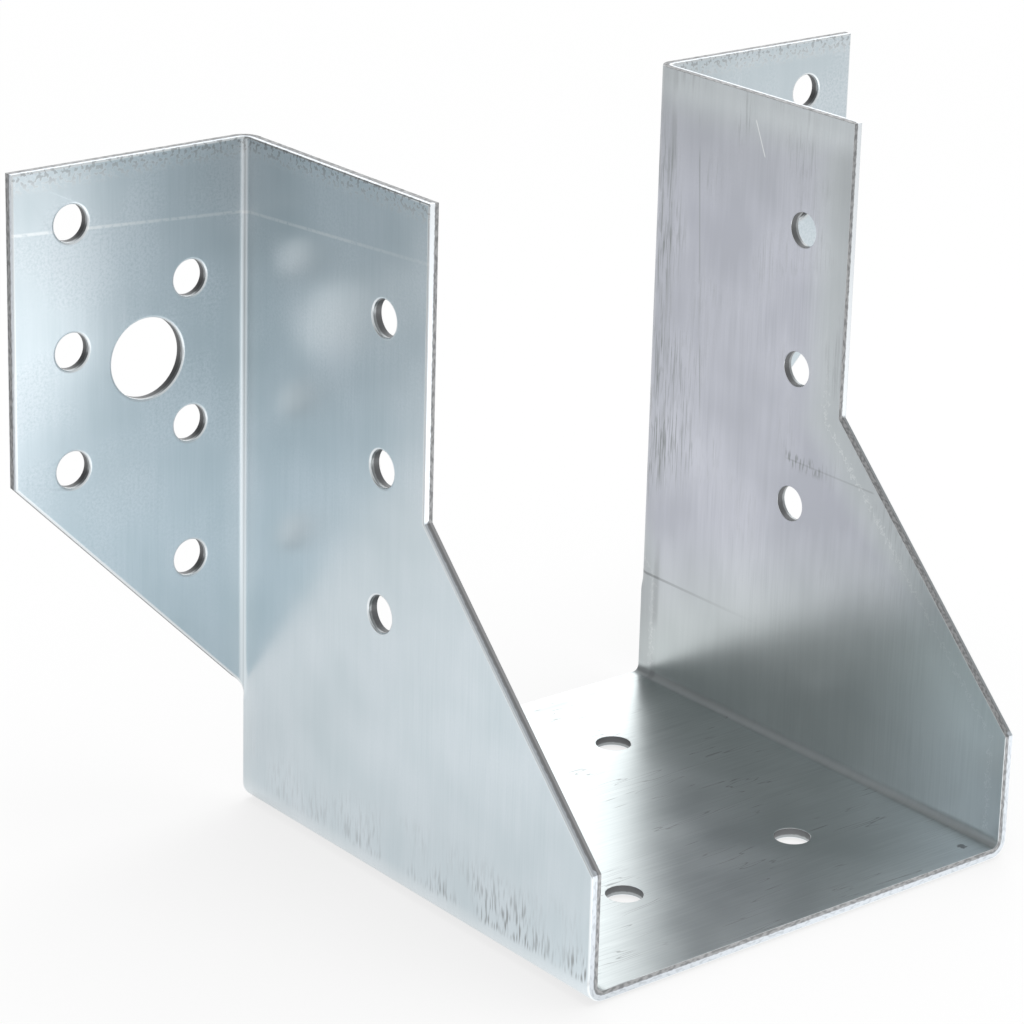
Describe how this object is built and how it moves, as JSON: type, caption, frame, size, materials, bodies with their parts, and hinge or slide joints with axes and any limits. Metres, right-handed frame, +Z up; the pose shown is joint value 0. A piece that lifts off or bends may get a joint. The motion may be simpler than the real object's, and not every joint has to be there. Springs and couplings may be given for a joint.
{
  "type": "beam hanger",
  "caption": "Beam hanger folded from one galvanised steel sheet: a seat and side plates hold the joist, and outward flanges with nail and bolt holes fix it to a header.",
  "frame": {"origin": "centre of the bounding box on the surface that the seat's underside rests on", "axes": "+X across the pocket towards the right side plate as seen by someone facing the header, +Y from the joist towards the header, +Z up"},
  "size_m": [0.1436, 0.0754, 0.094],
  "materials": {
    "hanger": "hot-dip galvanised, smooth, with punched and sheared edges bare"
  },
  "bodies": {
    "root": {"hanger": "hanger"}
  },
  "joints": []
}
